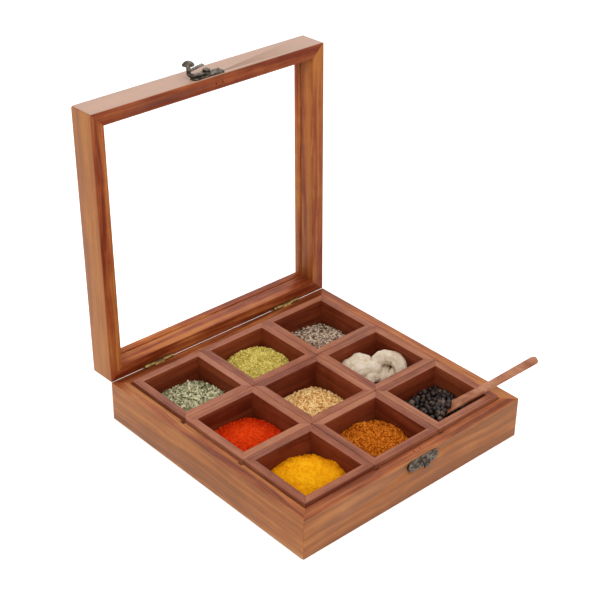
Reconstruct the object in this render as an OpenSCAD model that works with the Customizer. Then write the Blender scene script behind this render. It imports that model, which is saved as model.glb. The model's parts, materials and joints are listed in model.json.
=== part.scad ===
// Square wooden spice box: a mitred base with nine lift-out cups and a hinged lid with a clear pane.
// Origin at the centre of the bottom rest face. +Z is up, the keeper faces -Y, the hinges are at +Y.
// The lid is drawn standing open. Every lid piece is built closed and then swung by open_angle.

/* [Base box] */
// Width of the box, left to right
body_w = 203; // [190:1:216]
// Depth of the box, front to rear
body_d = 203; // [190:1:216]
// Height of the base, bottom sheet included
base_h = 30.6; // [30:0.1:36]
// Thickness of the four base boards
wall_t = 9.5; // [8:0.1:12]
// Thickness of the bottom sheet
sheet_t = 2.5; // [1.5:0.1:3.5]
// Width of the upright grooves in the boards
dado_w = 4; // [2:0.1:6]
// Depth of the upright grooves in the boards
dado_d = 1.8; // [0.5:0.1:3]

/* [Cups] */
// Room beside the block of cups, both sides together
tray_play = 2.3; // [2:0.1:3]
// Gap between neighbouring cups
cup_gap = 0.4; // [0.2:0.05:0.8]
// How far the block of cups sits to the right of the middle
cup_shift = 0.25; // [0:0.05:0.3]
// Thickness of the cup boards
cup_wall = 5.8; // [4:0.1:8]
// Thickness of the cup floors
cup_floor = 2.6; // [1.5:0.1:4]
// Glue line in the mitres of a cup
glue_gap = 0.04; // [0.02:0.01:0.1]
// How far the cup rims stand proud of the base rim
cup_rise = 2; // [1:0.1:3]

/* [Spices] */
// Gap between a heap and its cup
heap_gap = 0.1; // [0.05:0.05:0.4]
// Height of each fill at the cup corners: front, middle and rear row, left to right
heap_edge = [[7, 6, 8], [5.5, 4.5, 8], [6, 6, 5]];
// Rise of each mound above its corners, in the same order
heap_rise = [[15, 13, 3.5], [12, 9, 9], [9.5, 16, 9.5]];

/* [Lid] */
// Height of the lid rails
lid_h = 20.9; // [18:0.1:26]
// How much wider the lid rails are than the base boards
rail_over = 0.7; // [0:0.1:0.7]
// Seam between the closed lid and the base
seam = 0.3; // [0.1:0.05:0.6]
// Depth from the lid rim to the pane groove
pane_set = 13; // [10:0.1:14]
// Thickness of the clear pane
pane_t = 2; // [1.5:0.1:3]
// Depth of the pane groove in the rails
groove_d = 4; // [2:0.1:6]
// Clearance of the pane in its groove
pane_gap = 0.15; // [0.05:0.05:0.3]
// Opening angle of the standing lid
open_angle = 91.4; // [90:0.1:92]

/* [Hinges] */
// Length of a hinge
hinge_l = 25; // [20:0.5:32]
// Place of the left hinge from the middle
hinge_left = -60; // [-70:0.5:-50]
// Place of the right hinge from the middle
hinge_right = 62.5; // [50:0.5:70]
// Outer radius of the knuckles
knuckle_r = 2; // [1.6:0.1:2.4]
// Radius of the hinge pin
pin_r = 0.75; // [0.5:0.05:1]
// Running clearance of the pin, on the radius
pin_gap = 0.05; // [0.02:0.01:0.1]
// Height of a hinge leaf on its board
leaf_w = 13; // [11:0.5:15]
// Thickness of a hinge leaf
leaf_t = 1.2; // [1:0.05:1.6]
// How far the hinge axis lies inside the rear faces
axis_in = 0.7; // [0.5:0.05:0.8]
// Chamfer of the rear edges at the seam
rear_ease = 0.8; // [0.8:0.05:1.2]
// Gap between the knuckles and their recess
knuckle_gap = 0.3; // [0.2:0.05:0.6]
// Gap between neighbouring knuckles
knuckle_end = 0.2; // [0.1:0.05:0.4]
// Gap between the ends of a hinge and its recess
gain_end = 0.3; // [0.2:0.05:0.6]
// Distance between the two screws of a leaf
leaf_pitch = 15; // [12:0.5:18]

/* [Latch] */
// Place of the hook's pivot from the middle
pivot_x = -3; // [-6:0.5:0]
// Height of the pivot above the lid rim
pivot_z = 4; // [3.8:0.1:5]
// Length of the latch plate from its square end to its ring
plate_l = 26; // [22:0.5:30]
// Width of the latch plate
plate_w = 8; // [7:0.1:8]
// Thickness of the latch and keeper plates
plate_t = 1.6; // [1.4:0.1:2.2]
// Radius of the ring hole in the latch plate
ring_r = 2.4; // [2.1:0.1:2.8]
// Radius of the pivot rivet
rivet_r = 1.6; // [1.2:0.1:2]
// Running clearance of the hook on its rivet, on the radius
rivet_gap = 0.05; // [0.02:0.01:0.1]
// Radius of the rivet head
rivet_head = 2.7; // [2.4:0.1:3.2]
// Thickness of the rivet head
rivet_cap = 1.3; // [0.8:0.1:2]
// Gap between the hook and the plate under it
hook_gap = 0.2; // [0.1:0.05:0.4]
// Thickness of the hook's arm
arm_t = 1.8; // [1.2:0.1:1.8]
// Width of the hook's arm
arm_w = 3.2; // [2.4:0.1:3.2]
// Radius of the hook's eye
eye_r = 3.2; // [2.8:0.1:3.6]
// Reach of the hook from its pivot to its neck
arm_l = 15.2; // [14.8:0.1:16]
// Radius of the hook's neck
neck_r = 1.5; // [1:0.1:1.5]
// Bend radius at the foot of the neck
bend_r = 3; // [2.5:0.1:3.5]
// Height of the neck above the arm
neck_h = 8; // [7:0.1:10]
// Radius of the thumb knob
knob_r = 4.4; // [3:0.1:5]
// Height of the thumb knob
knob_h = 3; // [2:0.1:4]
// Length of the hook's tongue
tongue_l = 12.5; // [8:0.1:13]
// Width of the hook's tongue
tongue_w = 2.6; // [1.5:0.1:4]
// Thickness of the hook's tongue
tongue_t = 0.9; // [0.6:0.1:1.4]
// Height of the tongue above the arm
tongue_z = 3.2; // [3.1:0.1:4]
// Slope of the tongue away from the arm
tongue_tilt = 9; // [0:1:12]

/* [Keeper] */
// Place of the keeper from the middle
keeper_x = 3.7; // [3.5:0.1:5]
// Length of the keeper plate
keeper_l = 28; // [24:0.5:32]
// Height of the keeper plate
keeper_w = 8; // [7:0.1:9]
// Distance between the keeper's screws
keeper_pitch = 20.5; // [18:0.5:22]
// How far the keeper stays below the base rim
keeper_drop = 0.4; // [0.2:0.1:1]
// Width of the catch
catch_w = 4.6; // [3:0.1:4.6]
// Thickness of the catch
catch_t = 1.4; // [1:0.1:1.8]
// Clear depth behind the catch
catch_in = 2.6; // [2.4:0.1:3]
// Length of the catch below its bend
catch_l = 0.9; // [0.5:0.1:1]
// Drop of the catch's top below the keeper's top edge
catch_top = 1.6; // [1:0.1:2]

/* [Screws] */
// Radius of a screw shank
screw_r = 1; // [0.8:0.05:1.2]
// Radius of a screw head
head_r = 2; // [1.6:0.1:2]
// Thickness of a screw head
head_h = 0.8; // [0.6:0.05:0.9]
// Length of a screw under its head
screw_l = 6; // [4:0.5:7]
// Width of the driver slot
slot_w = 0.6; // [0.4:0.05:0.8]
// Depth of the driver slot
slot_d = 0.4; // [0.2:0.05:0.5]
// Clearance around a screw
screw_gap = 0.03; // [0.01:0.01:0.1]
// Radius of the brad holes in the front rims
brad_r = 0.7; // [0.4:0.1:1]
// Depth of the brad holes
brad_h = 1; // [0.5:0.1:2]
// Place of the first brad hole from the middle
brad_x1 = 2; // [-10:0.5:4]
// Place of the second brad hole from the middle
brad_x2 = 7.7; // [6:0.1:20]
// Distance of the brad holes from the front face
brad_y = 6; // [3:0.1:7]

/* [Spoon] */
// Radius of the sphere that shapes the bowl
bowl_r = 13; // [12.5:0.5:15]
// Depth of the bowl
bowl_h = 6; // [4:0.5:7]
// Wall of the bowl
bowl_wall = 1.8; // [1:0.1:2.5]
// Length from the bowl's middle to the tip
spoon_l = 85; // [72:1:95]
// Width of the handle where it flares into the bowl
flare_w = 9.4; // [8:0.1:10]
// Width of the handle at its waist
neck_w = 6.6; // [5:0.1:7]
// Width of the handle near its tip
tip_w = 7.6; // [7:0.1:9]
// Thickness of the handle
handle_t = 2.8; // [2.4:0.1:3.4]
// Radius of the handle's rounded underside
under_r = 7; // [6:0.5:10]
// Slope of the handle
spoon_rise = 28; // [26:0.1:30]
// Turn of the handle towards the front
spoon_turn = 29.1; // [27:0.1:31]
// Length from the bowl's middle to where the handle rests on the cup's rim
seat_l = 41; // [39:0.5:42]
// Place of that rest in front of the cup's middle
seat_y = 20.2; // [16:0.2:20.4]
// Clearance of the handle over the rim
seat_gap = 0.45; // [0.4:0.05:0.8]
// Slope at which the spoon is drawn out
draw_rise = 40; // [38:1:48]
// Clearance of the furrow that the spoon leaves in the heap
furrow_gap = 0.5; // [0.3:0.1:1]

/* [Hidden] */
$fn = 48;
eps = 0.01;
cup_w = (body_w - 2 * wall_t - tray_play - 2 * cup_gap) / 3;
cup_d = (body_d - 2 * wall_t - tray_play - 2 * cup_gap) / 3;
pitch_x = cup_w + cup_gap;
pitch_y = cup_d + cup_gap;
cup_z = sheet_t;
cup_h = base_h + cup_rise - cup_z;
fill_z = cup_z + cup_floor;
in_w = cup_w - 2 * cup_wall;
in_d = cup_d - 2 * cup_wall;
front_y = -body_d / 2;
rear_y = body_d / 2;
lid_z = base_h + seam;
rail_w = wall_t + rail_over;
axis_y = rear_y - axis_in;
axis_z = base_h + seam / 2;
rear_reach = rear_ease + seam / 2;
leaf_clear = norm([axis_in + leaf_t, axis_in + leaf_t]) + knuckle_gap;
third = hinge_l / 3;
pane_slot = pane_t + 2 * pane_gap;
plate_x0 = pivot_x - plate_l / 2;
plate_x1 = pivot_x + plate_l / 2;
ring_x = plate_x0 + plate_w / 2;
end_x = plate_x1 - 3.2;
hook_z = plate_t + hook_gap;
neck_z = hook_z + neck_r;
rivet_z = hook_z + arm_t + hook_gap;
keeper_z = base_h - keeper_drop - keeper_w / 2;
bend_z = keeper_w / 2 - catch_top - catch_in - catch_t;
seat_x = cup_x(2) + in_w / 2;
seat_z = cup_z + cup_h + seat_gap + handle_t / 2 / cos(spoon_rise);
bowl_rim = sqrt(bowl_r * bowl_r - pow(bowl_r - bowl_h, 2));
board = "#a8683c";
board_lit = "#b47850";
cup_wood = "#8a4a2c";
ply = "#c9a878";
bronze = "#6e6658";
brass = "#b39a5a";

function cup_x(i) = cup_shift + (i - 1) * pitch_x;
function cup_y(j) = (j - 1) * pitch_y;

// One mitred board of a w by d frame: its outer face lies on -Y, and gap is the glue line at each end
module mitred(w, d, t, h, gap = 0) {
  out = w / 2 - gap;
  in = out - t;
  linear_extrude(h) polygon([[-out, -d / 2], [out, -d / 2], [in, -d / 2 + t], [-in, -d / 2 + t]]);
}

// Turns a board to side 0 front, 1 right, 2 rear or 3 left of a w by d frame
module side_of(side) {
  rotate([0, 0, 90 * side]) children();
}

// The lid's swing from closed to standing open
module swung() {
  translate([0, axis_y, axis_z]) rotate([-open_angle, 0, 0]) translate([0, -axis_y, -axis_z]) children();
}

// A place on the front face: x right, y up, z outwards
module on_front(x, z) {
  translate([x, front_y, z]) rotate([90, 0, 0]) children();
}

// A place on the rear face: x right, y down, z outwards
module on_rear(x, z) {
  translate([x, rear_y, z]) rotate([-90, 0, 0]) children();
}

// A sunk screw whose head top lies at z 0, and the hole for it
module screw(turn) {
  difference() {
    union() {
      translate([0, 0, -head_h]) cylinder(r = head_r, h = head_h);
      translate([0, 0, -head_h - screw_l]) cylinder(r = screw_r, h = screw_l + eps);
    }
    rotate([0, 0, turn]) translate([-head_r - 1, -slot_w / 2, -slot_d]) cube([2 * head_r + 2, slot_w, 1]);
  }
}

module screw_hole() {
  translate([0, 0, -head_h]) cylinder(r = head_r + screw_gap, h = head_h + 1);
  translate([0, 0, -head_h - screw_l - 0.5]) cylinder(r = screw_r + screw_gap, h = screw_l + 1);
}

// Places of the screws
module at_leaf_screws(z) {
  for (hx = [hinge_left, hinge_right], dx = [-1, 1])
    on_rear(hx + dx * leaf_pitch / 2, z) translate([0, 0, leaf_t]) children();
}

module at_base_leaf_screws() {
  at_leaf_screws(axis_z - leaf_w / 2 - knuckle_r / 2) children();
}

module at_lid_leaf_screws() {
  at_leaf_screws(axis_z + leaf_w / 2 + knuckle_r / 2) children();
}

module at_latch_screws() {
  for (x = [ring_x, end_x]) on_front(x, lid_z + pivot_z) translate([0, 0, plate_t]) children();
}

module at_keeper_screws() {
  for (s = [-1, 1]) on_front(keeper_x + s * keeper_pitch / 2, keeper_z) translate([0, 0, plate_t]) children();
}

module brad_holes(z) {
  for (x = [brad_x1, brad_x2])
    translate([x, front_y + brad_y, z]) cylinder(r = brad_r, h = 2 * brad_h, center = true);
}

// The chamfer that every board loses at the seam's rear edge, so that the lid can swing
module rear_chamfer() {
  translate([0, rear_y, axis_z]) rotate([45, 0, 0])
    cube([body_w + 2, norm([1, 1]) * rear_reach, norm([1, 1]) * rear_reach], center = true);
}

// What the rear boards lose at the seam: the chamfer and a round recess along each hinge
module rear_cuts() {
  rear_chamfer();
  for (hx = [hinge_left, hinge_right])
    along_axis(hx - hinge_l / 2 - gain_end) cylinder(r = knuckle_r + knuckle_gap, h = hinge_l + 2 * gain_end);
}

// Base
module base_board(side, w, d) {
  difference() {
    side_of(side) translate([0, 0, sheet_t]) mitred(w, d, wall_t, base_h - sheet_t);
    for (s = [-1, 1])
      side_of(side)
        translate([groove_at(side, s) - dado_w / 2, -d / 2 + wall_t - dado_d, sheet_t - eps])
          cube([dado_w, dado_d + 1, base_h]);
  }
}

// Where a groove falls along a board, so that it meets the seam between two cups
function groove_at(side, s) =
  side == 0 ? cup_shift + s * pitch_x / 2 :
  side == 2 ? -cup_shift + s * pitch_x / 2 :
  s * pitch_y / 2;

module base_front() {
  color(board) difference() {
    base_board(0, body_w, body_d);
    at_keeper_screws() screw_hole();
    brad_holes(base_h);
  }
}

module base_rear() {
  color(board) difference() {
    base_board(2, body_w, body_d);
    at_base_leaf_screws() screw_hole();
    rear_cuts();
  }
}

module base_left() {
  color(board) difference() {
    base_board(3, body_d, body_w);
    rear_chamfer();
  }
}

module base_right() {
  color(board) difference() {
    base_board(1, body_d, body_w);
    rear_chamfer();
  }
}

module base_bottom() {
  color(ply) translate([-body_w / 2, front_y, 0]) cube([body_w, body_d, sheet_t]);
}

// Cups
module cup_walls(i, j) {
  h = cup_h - cup_floor;
  color(cup_wood) translate([cup_x(i), cup_y(j), cup_z + cup_floor]) {
    for (side = [0, 2]) side_of(side) mitred(cup_w, cup_d, cup_wall, h, glue_gap);
    for (side = [1, 3]) side_of(side) mitred(cup_d, cup_w, cup_wall, h, glue_gap);
  }
}

module cup_floor_plate(i, j) {
  color(cup_wood) translate([cup_x(i) - cup_w / 2, cup_y(j) - cup_d / 2, cup_z]) cube([cup_w, cup_d, cup_floor]);
}

// A mound: level at the cup's corners, domed between them
module mound(i, j, tint) {
  w = in_w - 2 * heap_gap;
  d = in_d - 2 * heap_gap;
  edge = heap_edge[j][i];
  rise = heap_rise[j][i];
  reach = norm([w, d]) / 2;
  dome = (reach * reach + rise * rise) / (2 * rise);
  color(tint) translate([cup_x(i), cup_y(j), fill_z]) intersection() {
    translate([-w / 2, -d / 2, 0]) cube([w, d, edge + rise + 1]);
    translate([0, 0, edge + rise - dome]) sphere(r = dome, $fn = 96);
  }
}

// Lid, built closed
module lid_board(side, w, d) {
  difference() {
    side_of(side) translate([0, 0, lid_z]) mitred(w, d, rail_w, lid_h);
    side_of(side)
      translate([-w / 2, -d / 2 + rail_w - groove_d, lid_z + pane_set])
        cube([w, groove_d + 1, pane_slot]);
  }
}

module lid_front() {
  color(board_lit) swung() difference() {
    lid_board(0, body_w, body_d);
    at_latch_screws() screw_hole();
    brad_holes(lid_z);
  }
}

module lid_rear() {
  color(board_lit) swung() difference() {
    lid_board(2, body_w, body_d);
    at_lid_leaf_screws() screw_hole();
    rear_cuts();
  }
}

module lid_left() {
  color(board_lit) swung() difference() {
    lid_board(3, body_d, body_w);
    rear_chamfer();
  }
}

module lid_right() {
  color(board_lit) swung() difference() {
    lid_board(1, body_d, body_w);
    rear_chamfer();
  }
}

module lid_pane() {
  w = body_w - 2 * (rail_w - groove_d) - 2 * pane_gap;
  d = body_d - 2 * (rail_w - groove_d) - 2 * pane_gap;
  color([0.85, 0.9, 0.92, 0.3]) swung() translate([-w / 2, -d / 2, lid_z + pane_set + pane_gap]) cube([w, d, pane_t]);
}

// Hinges
module along_axis(x) {
  translate([x, axis_y, axis_z]) rotate([0, 90, 0]) children();
}

// One leaf: dir -1 is the base leaf with the two outer knuckles, dir 1 the lid leaf with the middle one
module leaf(hx, dir) {
  x0 = hx - hinge_l / 2;
  own = dir < 0 ? [0, 2] : [1];
  other = dir < 0 ? [1] : [0, 2];
  difference() {
    union() {
      translate([x0, rear_y, dir < 0 ? axis_z - leaf_w : axis_z]) cube([hinge_l, leaf_t, leaf_w]);
      for (k = own) along_axis(x0 + k * third + knuckle_end / 2) cylinder(r = knuckle_r, h = third - knuckle_end);
    }
    along_axis(x0 - 1) cylinder(r = pin_r + pin_gap, h = hinge_l + 2);
    for (k = other)
      along_axis(x0 + k * third - (k == 0 ? 1 : knuckle_end / 2))
        cylinder(r = leaf_clear, h = third + (k == 1 ? knuckle_end : 1 + knuckle_end / 2));
    if (dir < 0) at_base_leaf_screws() screw_hole();
    else at_lid_leaf_screws() screw_hole();
  }
}

module hinge_pin(hx) {
  color(brass) along_axis(hx - hinge_l / 2) cylinder(r = pin_r, h = hinge_l);
}

module hinge_screws_base() {
  color(brass) at_base_leaf_screws() screw(20);
}

module hinge_screws_lid() {
  color(brass) swung() at_lid_leaf_screws() screw(-30);
}

// Latch
module on_pivot() {
  swung() on_front(pivot_x, lid_z + pivot_z) children();
}

module latch_plate() {
  color(bronze) swung() difference() {
    union() {
      on_front(ring_x, lid_z + pivot_z) cylinder(r = plate_w / 2, h = plate_t);
      on_front(0, lid_z + pivot_z)
        translate([ring_x, -plate_w / 2 + 0.6, 0]) cube([plate_x1 - ring_x, plate_w - 1.2, plate_t]);
    }
    on_front(ring_x, lid_z + pivot_z) translate([0, 0, plate_t - head_h]) cylinder(r = ring_r, h = 2);
    at_latch_screws() screw_hole();
    on_front(pivot_x, lid_z + pivot_z) translate([0, 0, -1]) cylinder(r = rivet_r + screw_gap, h = plate_t + 2);
  }
}

module latch_hook() {
  color(bronze) on_pivot() difference() {
    union() {
      translate([0, 0, hook_z]) cylinder(r = eye_r, h = arm_t);
      translate([-arm_l + bend_r, -arm_w / 2, hook_z]) cube([arm_l - bend_r, arm_w, arm_t]);
      translate([-arm_l + bend_r, 0, neck_z + bend_r]) rotate([90, 0, 0]) rotate_extrude(angle = 90)
        neck_section();
      translate([-arm_l, 0, neck_z + bend_r]) cylinder(r = neck_r, h = neck_h - bend_r + eps);
      translate([-arm_l, 0, neck_z + neck_h]) knob();
      translate([-arm_l, 0, neck_z + tongue_z]) rotate([0, -tongue_tilt, 0])
        translate([0, -tongue_w / 2, 0]) cube([tongue_l, tongue_w, tongue_t]);
    }
    translate([0, 0, hook_z - 1]) cylinder(r = rivet_r + rivet_gap, h = arm_t + 2);
  }
}

// The round section of the neck's bend, turned a quarter circle from the arm up to the neck
module neck_section() {
  translate([-bend_r, 0]) circle(r = neck_r);
}

// A shallow domed knob
module knob() {
  dome = (knob_r * knob_r + knob_h * knob_h) / (2 * knob_h);
  intersection() {
    cylinder(r = knob_r, h = knob_h);
    translate([0, 0, knob_h - dome]) sphere(r = dome);
  }
}

module latch_rivet() {
  color(bronze) on_pivot() {
    cylinder(r = rivet_r, h = rivet_z + eps);
    translate([0, 0, rivet_z]) cylinder(r = rivet_head, h = rivet_cap);
  }
}

module latch_screws() {
  color(bronze) swung() at_latch_screws() screw(35);
}

// Keeper
module keeper_plate() {
  color(bronze) difference() {
    union() {
      for (s = [-1, 1])
        on_front(keeper_x + s * (keeper_l - keeper_w) / 2, keeper_z) cylinder(r = keeper_w / 2, h = plate_t);
      on_front(keeper_x, keeper_z)
        translate([-(keeper_l - keeper_w) / 2, -keeper_w / 2, 0]) cube([keeper_l - keeper_w, keeper_w, plate_t]);
      on_front(keeper_x - catch_w / 2, keeper_z) catch();
    }
    at_keeper_screws() screw_hole();
  }
}

// The catch: out of the plate at its top, round and down in front of the hook's arm
module catch() {
  translate([0, bend_z, plate_t]) rotate([0, 90, 0]) difference() {
    union() {
      cylinder(r = catch_in + catch_t, h = catch_w);
      translate([-catch_in - catch_t, -catch_l, 0]) cube([catch_t, catch_l, catch_w]);
    }
    translate([0, 0, -1]) cylinder(r = catch_in, h = catch_w + 2);
    translate([-catch_in, -20, -1]) cube([20, 20, catch_w + 2]);
    translate([0, -20, -1]) cube([20, 40, catch_w + 2]);
    translate([-20, -20, -1]) cube([20 - catch_in - catch_t, 20, catch_w + 2]);
    translate([-20, -20, -1]) cube([20, 20 - catch_l, catch_w + 2]);
  }
}

module keeper_screws() {
  color(bronze) at_keeper_screws() screw(-20);
}

// Spoon: local x runs along the handle, z up out of the bowl
module on_spoon() {
  translate([seat_x, cup_y(0) - seat_y, seat_z]) rotate([0, -spoon_rise, -spoon_turn])
    translate([-seat_l, 0, 0]) children();
}

module spoon() {
  color(board_lit) on_spoon() difference() {
    union() {
      intersection() {
        translate([0, 0, bowl_r - bowl_h + handle_t / 2]) sphere(r = bowl_r);
        translate([0, 0, handle_t / 2 - bowl_h - 1]) cylinder(r = bowl_rim + 1, h = bowl_h + 1);
      }
      intersection() {
        translate([0, 0, -handle_t / 2]) linear_extrude(handle_t) handle_outline();
        translate([-1, 0, under_r - handle_t / 2]) rotate([0, 90, 0]) cylinder(r = under_r, h = spoon_l + 2);
      }
    }
    translate([0, 0, bowl_r - bowl_h + handle_t / 2]) sphere(r = bowl_r - bowl_wall);
  }
}

// The handle from above: flared at the bowl, narrow at its waist, round at its tip
module handle_outline() {
  end = spoon_l - tip_w / 2;
  waist = 0.54 * spoon_l;
  flare = bowl_rim + 4;
  polygon([[0, -0.65 * flare_w], [flare, -flare_w / 2], [waist, -neck_w / 2], [end, -tip_w / 2],
           [end, tip_w / 2], [waist, neck_w / 2], [flare, flare_w / 2], [0, 0.65 * flare_w]]);
  translate([end, 0]) circle(r = tip_w / 2);
}

// The furrow along which the bowl leaves the heap
module furrow() {
  wide = bowl_rim + furrow_gap;
  low = bowl_h + furrow_gap + 1;
  on_spoon() rotate([0, spoon_rise - draw_rise, 0]) translate([-wide, -wide, -low - 3])
    cube([wide + 2 * seat_l, 2 * wide, low + 2 * base_h]);
}

module heap_pepper() {
  difference() {
    mound(2, 0, "#3c322c");
    color("#3c322c") furrow();
  }
}

base_front();
base_rear();
base_left();
base_right();
base_bottom();
cup_walls(0, 0);  // cup_fl_walls
cup_walls(1, 0);  // cup_fm_walls
cup_walls(2, 0);  // cup_fr_walls
cup_walls(0, 1);  // cup_ml_walls
cup_walls(1, 1);  // cup_mm_walls
cup_walls(2, 1);  // cup_mr_walls
cup_walls(0, 2);  // cup_rl_walls
cup_walls(1, 2);  // cup_rm_walls
cup_walls(2, 2);  // cup_rr_walls
cup_floor_plate(0, 0);  // cup_fl_floor
cup_floor_plate(1, 0);  // cup_fm_floor
cup_floor_plate(2, 0);  // cup_fr_floor
cup_floor_plate(0, 1);  // cup_ml_floor
cup_floor_plate(1, 1);  // cup_mm_floor
cup_floor_plate(2, 1);  // cup_mr_floor
cup_floor_plate(0, 2);  // cup_rl_floor
cup_floor_plate(1, 2);  // cup_rm_floor
cup_floor_plate(2, 2);  // cup_rr_floor
mound(0, 0, "#d9951c");  // heap_turmeric
mound(1, 0, "#b4621c");  // heap_masala
heap_pepper();
mound(0, 1, "#b4281a");  // heap_chilli
mound(1, 1, "#c08a3a");  // heap_seeds
mound(2, 1, "#e6d9b8");  // heap_slices
mound(0, 2, "#b8b48a");  // heap_herbs
mound(1, 2, "#a89a34");  // heap_coriander
mound(2, 2, "#9a8450");  // heap_cumin
lid_front();
lid_rear();
lid_left();
lid_right();
lid_pane();
color(brass) leaf(hinge_left, -1);  // hinge_left_base
color(brass) swung() leaf(hinge_left, 1);  // hinge_left_lid
hinge_pin(hinge_left);  // hinge_left_pin
color(brass) leaf(hinge_right, -1);  // hinge_right_base
color(brass) swung() leaf(hinge_right, 1);  // hinge_right_lid
hinge_pin(hinge_right);  // hinge_right_pin
hinge_screws_base();
hinge_screws_lid();
latch_plate();
latch_hook();
latch_rivet();
latch_screws();
keeper_plate();
keeper_screws();
spoon();
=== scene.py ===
"""Dresses the square wooden spice box: oiled boards, aged hardware, a clear pane and nine spices."""

from __future__ import annotations

import json
import logging
import math
import random
from dataclasses import dataclass, field
from enum import Enum

import bmesh
import bpy
from bmesh.types import BMEdge, BMesh, BMFace, BMVert
from bpy.types import Material, Mesh, Node, NodeSocket, NodeTree, Object, Scene
from mathutils import Euler, Matrix, Vector, noise

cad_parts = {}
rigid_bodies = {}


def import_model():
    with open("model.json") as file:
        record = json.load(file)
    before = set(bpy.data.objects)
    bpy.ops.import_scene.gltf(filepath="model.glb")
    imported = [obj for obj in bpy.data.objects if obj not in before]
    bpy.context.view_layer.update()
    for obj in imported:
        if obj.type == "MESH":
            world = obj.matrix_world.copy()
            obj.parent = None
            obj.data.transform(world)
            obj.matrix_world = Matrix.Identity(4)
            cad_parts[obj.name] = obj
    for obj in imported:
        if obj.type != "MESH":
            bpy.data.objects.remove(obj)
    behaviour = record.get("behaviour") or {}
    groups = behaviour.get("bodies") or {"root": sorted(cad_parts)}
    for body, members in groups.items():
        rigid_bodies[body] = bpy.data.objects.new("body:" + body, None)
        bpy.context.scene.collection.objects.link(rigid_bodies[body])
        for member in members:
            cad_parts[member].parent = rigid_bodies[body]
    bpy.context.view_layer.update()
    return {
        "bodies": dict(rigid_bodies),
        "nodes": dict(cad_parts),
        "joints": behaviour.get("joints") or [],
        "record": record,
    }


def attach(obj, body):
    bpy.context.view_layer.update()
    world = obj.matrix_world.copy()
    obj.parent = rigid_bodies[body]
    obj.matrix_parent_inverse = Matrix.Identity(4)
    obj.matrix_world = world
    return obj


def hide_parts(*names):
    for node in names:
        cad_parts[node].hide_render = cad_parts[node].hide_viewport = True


log = logging.getLogger("spice_box")

# Lengths are in metres. SWING takes the closed lid to where it stands open.
MM = 0.001
BODY_HALF = 203 * MM / 2
CUPS = ("fl", "fm", "fr", "ml", "mm", "mr", "rl", "rm", "rr")
CUP_PITCH = 60.7 * MM
CUP_SHIFT = 0.25 * MM
CUP_HALF = 30.15 * MM
CUP_INNER = 48.7 * MM
FILL_Z = 5.1 * MM
SPOON_BOWL = (53.7 * MM, -63.3 * MM, 15.4 * MM)
HINGE = Vector((0, 100.8 * MM, 30.75 * MM))
OPEN_ANGLE = math.radians(91.4)
WELD = 2e-6
FLAT_ANGLE = math.radians(0.6)
SWING = Matrix.Translation(HINGE) @ Matrix.Rotation(-OPEN_ANGLE, 4, "X") @ Matrix.Translation(-HINGE)


def srgb(red: int, green: int, blue: int) -> tuple[float, float, float, float]:
    """Turns a screen colour from 0 to 255 into the linear colour that a shader reads.

    Args:
        red: The red part.
        green: The green part.
        blue: The blue part.

    Returns:
        The linear colour with an alpha of 1.
    """

    def linear(part: int) -> float:
        """Gives the linear value of one part."""
        value = part / 255
        return value / 12.92 if value <= 0.04045 else ((value + 0.055) / 1.055) ** 2.4

    return (linear(red), linear(green), linear(blue), 1.0)


def cup_centre(cup: str) -> tuple[float, float]:
    """Gives the middle of a cup, named by its row (front, middle, rear) and column (left, middle, right)."""
    row, column = divmod(CUPS.index(cup), 3)
    return CUP_SHIFT + (column - 1) * CUP_PITCH, (row - 1) * CUP_PITCH


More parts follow.
